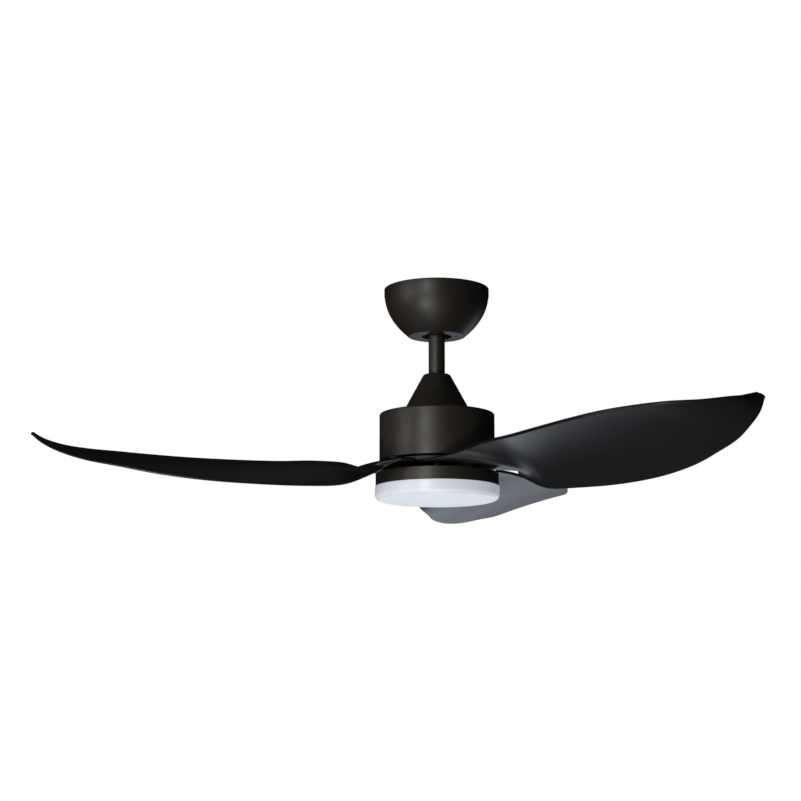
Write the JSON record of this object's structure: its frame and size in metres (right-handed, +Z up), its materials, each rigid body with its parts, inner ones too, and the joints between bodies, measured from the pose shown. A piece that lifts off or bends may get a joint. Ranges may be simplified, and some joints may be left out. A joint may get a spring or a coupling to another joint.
{
  "type": "ceiling fan with light",
  "caption": "Ceiling fan with twisted blades on a ball-hung downrod, a drum motor housing and a round flat light with an opal diffuser below it.",
  "frame": {"origin": "centre of the ceiling plane, on the fan's vertical axis", "axes": "+Z up, out of the ceiling face; the fan hangs along -Z; X runs along the two ceiling screws"},
  "size_m": [1.0269, 1.0419, 0.3308],
  "materials": {
    "bronze_paint": "fine textured satin powder coat",
    "zinc_steel": "zinc plated, satin",
    "bracket_black": "black enamel on pressed steel",
    "black_screw": "black oxide, satin",
    "rotor_black": "black dip paint on a casting",
    "earth_paint": "green lacquered steel",
    "terminal_plastic": "matte moulded",
    "liner_nylon": "natural nylon, matte",
    "ball_plastic": "moulded, slight gloss",
    "grommet_rubber": "soft, matte",
    "lead_sheath": "PVC sheath",
    "lamination_steel": "stacked sheet, oiled",
    "enamelled_copper": "lacquered winding",
    "bearing_steel": "ground and polished",
    "cast_aluminium": "die cast, matte",
    "magnet_grey": "sintered, matte",
    "blade_plastic": "fine grained satin black moulding",
    "driver_case": "moulded case",
    "board_white": "white solder mask on aluminium",
    "led_phosphor": "yellow phosphor package",
    "diffuser_opal": "opal acrylic, satin"
  },
  "bodies": {
    "mount": {"hanger_bracket": "bracket_black", "canopy": "bronze_paint", "canopy_screws": "bronze_paint", "terminal_block": "terminal_plastic", "earth_screw": "earth_paint"},
    "liner": {"ball_liner": "liner_nylon"},
    "hang": {"hanger_ball": "ball_plastic", "downrod": "bronze_paint", "upper_cross_pin": "zinc_steel", "upper_pin_clip": "zinc_steel", "rod_set_screw": "zinc_steel", "motor_yoke": "zinc_steel", "lower_cross_pin": "zinc_steel", "lower_pin_clip": "zinc_steel", "yoke_set_screws": "zinc_steel", "cover_grommet": "grommet_rubber", "coupling_cover": "bronze_paint", "motor_housing": "bronze_paint", "housing_screws": "zinc_steel", "motor_shaft": "zinc_steel", "supply_leads": "lead_sheath", "stator_core": "lamination_steel", "stator_windings": "enamelled_copper", "upper_bearing_inner": "bearing_steel", "lower_bearing_inner": "bearing_steel", "light_mount_plate": "zinc_steel", "light_pan": "bronze_paint", "light_pan_screws": "zinc_steel", "shaft_nut": "zinc_steel", "led_driver": "driver_case", "led_standoffs": "zinc_steel", "led_board": "board_white", "led_chips": "led_phosphor", "led_board_screws": "zinc_steel"},
    "rotor": {"rotor_shell": "cast_aluminium", "rotor_cap": "rotor_black", "rotor_magnets": "magnet_grey", "rotor_screws": "zinc_steel", "upper_bearing_outer": "bearing_steel", "lower_bearing_outer": "bearing_steel", "upper_bearing_balls": "bearing_steel", "lower_bearing_balls": "bearing_steel", "blade_1": "blade_plastic", "blade_2": "blade_plastic", "blade_3": "blade_plastic", "blade_washers": "black_screw", "blade_screws": "black_screw"},
    "diffuser": {"diffuser": "diffuser_opal"}
  },
  "joints": [
    {"name": "swing_about_x", "type": "hinge", "parent": "mount", "child": "liner", "pos_m": [0, 0, -0.04], "axis": [1, 0, 0], "range_deg": [-8, 8]},
    {"name": "swing_about_y", "type": "hinge", "parent": "liner", "child": "hang", "pos_m": [0, 0, -0.04], "axis": [0, 1, 0], "range_deg": [-8, 8]},
    {"name": "rotor_spin", "type": "hinge", "parent": "hang", "child": "rotor", "pos_m": [0, 0, -0.28], "axis": [0, 0, 1], "continuous": true},
    {"name": "diffuser_twist", "type": "hinge", "parent": "hang", "child": "diffuser", "pos_m": [0, 0, -0.31], "axis": [0, 0, 1], "range_deg": [0, 22]}
  ]
}
